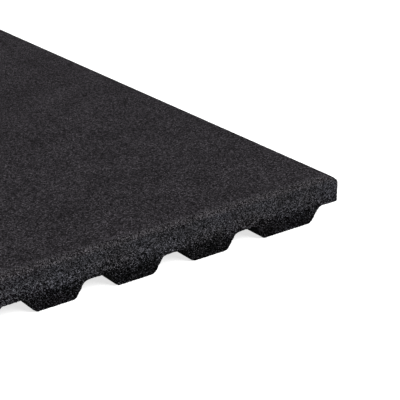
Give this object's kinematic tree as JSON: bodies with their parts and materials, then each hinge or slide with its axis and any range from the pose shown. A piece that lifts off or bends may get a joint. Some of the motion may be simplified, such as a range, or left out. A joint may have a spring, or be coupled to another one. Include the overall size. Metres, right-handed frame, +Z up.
{
  "type": "rubber floor mat",
  "caption": "Square moulded rubber granule floor mat with a sloped top edge and parallel drainage ribs underneath.",
  "frame": {"origin": "middle of the mat's footprint, on the floor it lies on", "axes": "+Z up through the walking face, +Y along the ribs and channels, +X across them"},
  "size_m": [1, 1, 0.045],
  "materials": {
    "rubber": "matt, fine granular"
  },
  "bodies": {
    "root": {"mat": "rubber"}
  },
  "joints": []
}
